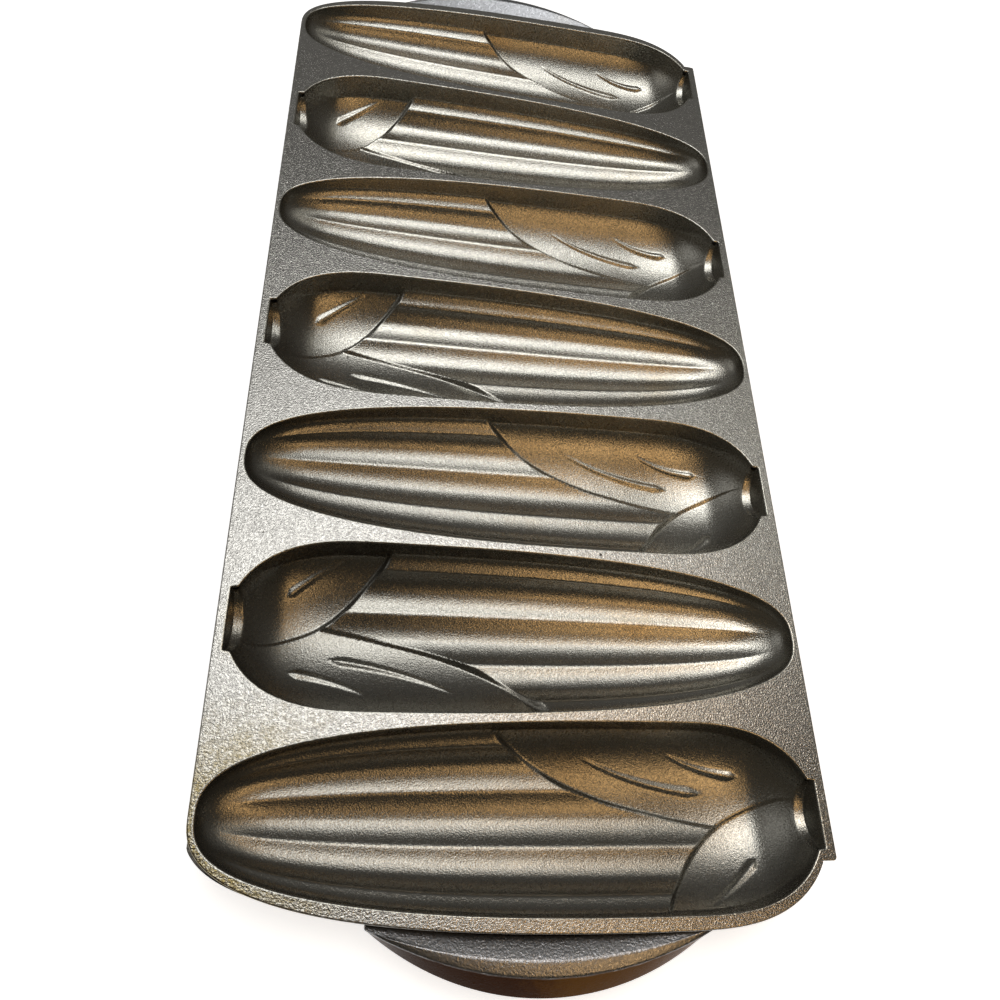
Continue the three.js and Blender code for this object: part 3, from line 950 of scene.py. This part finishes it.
def side_shade_and_sheen_mask(tree, spot, place, left_colour, right_colour):
    """The mask and the colour of a painted shade with a painted warm reflection, which covers what lies below
    a handle's lip: dark brown at the left, golden brown at the right.
    """
    ragged = noise(tree, spot, SIDE_SHADE_RAGGED_SIZE, detail=4, rough=0.65)
    cover = ease(attribute(tree, "below") + ragged * SIDE_SHADE_RAGGED_EDGE, *SIDE_SHADE_EDGE_SPAN)
    towards_sheen = ease(Field(tree, place["X"]) + ragged * SIDE_SHADE_RAGGED_WARMING, *SIDE_SHADE_WARMING_SPAN)
    return cover, mix_colour(tree, towards_sheen, opaque(left_colour), opaque(right_colour))


def iron_material(
    name, bare, brown, brown_amount, roughness, grain, speckle, pits, corner=1, painted_warm_reflection=None, side_shade_and_sheen=None,
):
    """Seasoned iron: bare metal with brown patches, sand grain and pits, a little brighter on worn crests.

    Grain is (size, height, wave height) and pits are (spacing, radius). Corner is how much of its brightness
    the iron keeps at the near left corner, under a painted shade. The second last argument is (colour,
    centre, reach) of a painted warm reflection, a golden patch. The last is (left colour, right colour) of a
    painted matt shade with a painted warm reflection below a handle's lip.
    """
    material = bpy.data.materials.new(name)
    material.use_nodes = True
    tree = material.node_tree
    shader = tree.nodes["Principled BSDF"]
    spot = add_node(tree, "ShaderNodeTexCoord").outputs["Object"]
    place = add_node(tree, "ShaderNodeSeparateXYZ", Vector=spot).outputs
    crest = attribute(tree, "crest")
    outside = attribute(tree, "outside")
    skin = use_group(tree, GRAIN, spot, Grain_Size=grain[0], Grain_Height=grain[1], Wave_Height=grain[2])
    specks = skin["Speckle"]
    holes = use_group(tree, PITS, spot, Spacing=pits[0], Radius=pits[1])["Pits"]
    tint = use_group(tree, SEASONING, spot, Amount=brown_amount)["Tint"]

    colour = mix_colour(tree, tint, opaque(bare), opaque(brown))
    colour = mix_colour(tree, specks * speckle, colour, opaque(bare, SPECK_SHADE))
    colour = mix_colour(tree, crest * CREST_SHARE, colour, opaque(bare, CREST_GAIN))
    # Painted shade: the iron darkened towards black at the near left corner
    corner_shade = corner_shade_mask(tree, place) * (1 - corner)
    colour = mix_colour(tree, corner_shade, colour, opaque(CORNER_SHADE_COLOUR))
    colour = mix_colour(tree, outside * OUTSIDE_SHARE, colour, opaque(OUTSIDE_IRON))
    metal = METAL_SHARE
    # Painted warm reflection: a golden patch mixed into the colour
    if painted_warm_reflection:
        warm_reflection_colour, centre, reach = painted_warm_reflection
        warm_reflection_share = warm_reflection_mask(tree, spot, centre, reach) * (specks * WARM_REFLECTION_SPECKS + (1 - WARM_REFLECTION_SPECKS))
        colour = mix_colour(tree, warm_reflection_share, colour, opaque(warm_reflection_colour))
    # Painted shade with a painted warm reflection below a handle's lip, made matt by less metal and a low IOR
    if side_shade_and_sheen:
        cover, side_shade_colour = side_shade_and_sheen_mask(tree, spot, place, *side_shade_and_sheen)
        colour = mix_colour(tree, cover, colour, side_shade_colour)
        metal = (1 - cover) * METAL_SHARE
        shader.inputs["IOR"].default_value = SIDE_SHADE_IOR
    colour = mix_colour(tree, holes * PIT_SHARE, colour, opaque(PIT_COLOUR))

    rough = specks * SPECK_ROUGHNESS + holes * PIT_ROUGHNESS + crest * CREST_ROUGHNESS
    height = skin["Height"] - holes * PIT_DEPTH
    bump = add_node(tree, "ShaderNodeBump", Height=height, Distance=1.0, Strength=1.0)
    feed(tree, shader.inputs["Base Color"], colour)
    feed(tree, shader.inputs["Metallic"], metal)
    feed(tree, shader.inputs["Roughness"], rough + outside * OUTSIDE_ROUGHNESS + roughness)
    feed(tree, shader.inputs["Normal"], bump.outputs[0])
    return material


# Stage

FLOOR_HALF = 3
FLOOR_COLOUR = (0.86, 0.86, 0.86)
FLOOR_ROUGHNESS = 0.9
FLOOR_GLOW = 0.75
FRONT_COLOUR = (0.055, 0.047, 0.034)
FAR_COLOUR = (0.13, 0.127, 0.12)
FAR_SPAN = (-0.3, 0.8)
WHITE_LIGHT = (1, 1, 1)
PALE_LIGHT = (1, 0.97, 0.88)
WARM_LIGHT = (1, 0.6, 0.25)
NEAR_WARM_LIGHT = (1, 0.62, 0.28)
CAMERA_LENS = 28.41
CAMERA_PLACE = (-41.04 * MM, -140.65 * MM, PAN_HEIGHT + 184.81 * MM)
CAMERA_ANGLES = (25.652, -10.381, -0.948)
CAMERA_CLIP_START = 10 * MM


def make_floor():
    """A pale floor that keeps the shadow, and that the camera and the metal see as white."""
    mesh = bpy.data.meshes.new("floor")
    corners = [(x * FLOOR_HALF, y * FLOOR_HALF, 0) for x, y in ((-1, -1), (1, -1), (1, 1), (-1, 1))]
    mesh.from_pydata(corners, [], [(0, 1, 2, 3)])
    material = bpy.data.materials.new("pale_floor")
    material.use_nodes = True
    tree = material.node_tree
    shader = tree.nodes["Principled BSDF"]
    shader.inputs["Base Color"].default_value = opaque(FLOOR_COLOUR)
    shader.inputs["Roughness"].default_value = FLOOR_ROUGHNESS
    shader.inputs["Emission Color"].default_value = opaque(WHITE_LIGHT)
    path = tree.nodes.new("ShaderNodeLightPath")
    rays = [Field(tree, path.outputs[f"Is {kind} Ray"]) for kind in ("Camera", "Glossy", "Transmission")]
    feed(tree, shader.inputs["Emission Strength"], smaller(rays[0] + rays[1] + rays[2], 1) * FLOOR_GLOW)
    mesh.materials.append(material)
    new_object("floor", mesh)


def softbox(name, place, angles, size, radiance, colour):
    """A soft rectangular lamp, turned from facing down by angles in degrees, with the radiance of a panel."""
    lamp = bpy.data.lights.new(name, "AREA")
    lamp.shape = "RECTANGLE"
    lamp.size, lamp.size_y = size
    lamp.energy = radiance * math.pi * size[0] * size[1]
    lamp.color = colour
    holder = bpy.data.objects.new(name, lamp)
    holder.location = place
    holder.rotation_euler = [math.radians(angle) for angle in angles]
    bpy.context.scene.collection.objects.link(holder)


def make_world():
    """Dim surroundings, darker towards the front of the pan."""
    world = bpy.data.worlds.new("studio")
    bpy.context.scene.world = world
    world.use_nodes = True
    tree = world.node_tree
    direction = add_node(tree, "ShaderNodeTexCoord").outputs["Generated"]
    spot = add_node(tree, "ShaderNodeSeparateXYZ", Vector=direction)
    far = ease(Field(tree, spot.outputs["Y"]), *FAR_SPAN)
    background = tree.nodes["Background"]
    feed(tree, background.inputs["Color"], mix_colour(tree, far, opaque(FRONT_COLOUR), opaque(FAR_COLOUR)))
    background.inputs["Strength"].default_value = 1


def make_lights():
    """White softboxes above and at the sides, and warm panels whose glow the moulds mirror."""
    softbox("overhead_softbox", (-0.06, 0.65, 2.34), (-15, -1, 0), (1.4, 1.16), 4.5, WHITE_LIGHT)
    softbox("warm_near_strip", (0.105, -0.235, 0.3), (0, 0, 0), (0.08, 0.1), 2.1, WARM_LIGHT)
    softbox("warm_far_strip", (0.09, -0.06, 0.3), (0, 0, 0), (0.08, 0.11), 2, WARM_LIGHT)
    softbox("warm_near_panel", (0.2, -0.34, 0.4), (0, 0, 12), (0.12, 0.16), 3.2, NEAR_WARM_LIGHT)
    softbox("left_softbox", (-0.8, 0.1, 0.65), (0, -51, 0), (0.5, 0.5), 0.6, WHITE_LIGHT)
    softbox("right_softbox", (1.0, 0.75, 1.5), (-27, 32, 0), (0.6, 0.6), 0.9, PALE_LIGHT)


def make_camera():
    """The photograph's view, from close above the near left of the pan."""
    data = bpy.data.cameras.new("camera")
    data.lens = CAMERA_LENS
    data.clip_start = CAMERA_CLIP_START
    camera = bpy.data.objects.new("camera", data)
    camera.location = CAMERA_PLACE
    camera.rotation_euler = [math.radians(angle) for angle in CAMERA_ANGLES]
    bpy.context.scene.collection.objects.link(camera)
    bpy.context.scene.camera = camera


# The pan

def hang(piece, *nodes):
    """Puts a piece on the pan's one body, in place of the nodes that it shows."""
    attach(piece, "root")
    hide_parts(*nodes)


# Painted shade: the deck and the moulds darken towards the near left corner, by their corner values
deck_iron = iron_material(
    "deck_iron", bare=(0.47, 0.46, 0.43), brown=(0.41, 0.37, 0.28), brown_amount=0.2, roughness=0.19,
    grain=(0.45 * MM, 0.11 * MM, 0.06 * MM), speckle=0.55, pits=(7 * MM, 0.3 * MM), corner=0.8,
    # Painted warm reflection: a golden patch by the deck's near left rim
    painted_warm_reflection=((0.22, 0.17, 0.06), (-62 * MM, -132 * MM, PAN_HEIGHT), 32 * MM),
)
mould_iron = iron_material(
    "mould_iron", bare=(0.395, 0.385, 0.345), brown=(0.34, 0.28, 0.185), brown_amount=0.25, roughness=0.2,
    grain=(0.38 * MM, 0.078 * MM, 0.08 * MM), speckle=0.36, pits=(8 * MM, 0.22 * MM), corner=0.66,
)
handle_iron = iron_material(
    "handle_iron", bare=(0.27, 0.275, 0.285), brown=(0.24, 0.225, 0.2), brown_amount=0.25, roughness=0.27,
    grain=(0.5 * MM, 0.1 * MM, 0.1 * MM), speckle=0.4, pits=(7 * MM, 0.3 * MM),
    # Painted shade with a painted warm reflection below the lips: dark brown at the left, golden brown at the
    # right
    side_shade_and_sheen=((0.055, 0.02, 0.006), (0.16, 0.073, 0.01)),
)
moulds = make_moulds(mould_iron)
deck = make_deck(moulds, deck_iron)
hang(deck, "deck_plate")
for n, mould in enumerate(moulds, 1):
    hang(mould, f"cob_cup_{n}", f"stem_pocket_{n}")
for name, side, shape in (("handle_near", -1, NEAR_HANDLE), ("handle_far", 1, FAR_HANDLE)):
    hang(make_handle(f"{name}_lug", side, shape, handle_iron), name)
make_floor()
make_world()
make_lights()
make_camera()
bpy.context.scene.view_settings.view_transform = "Standard"
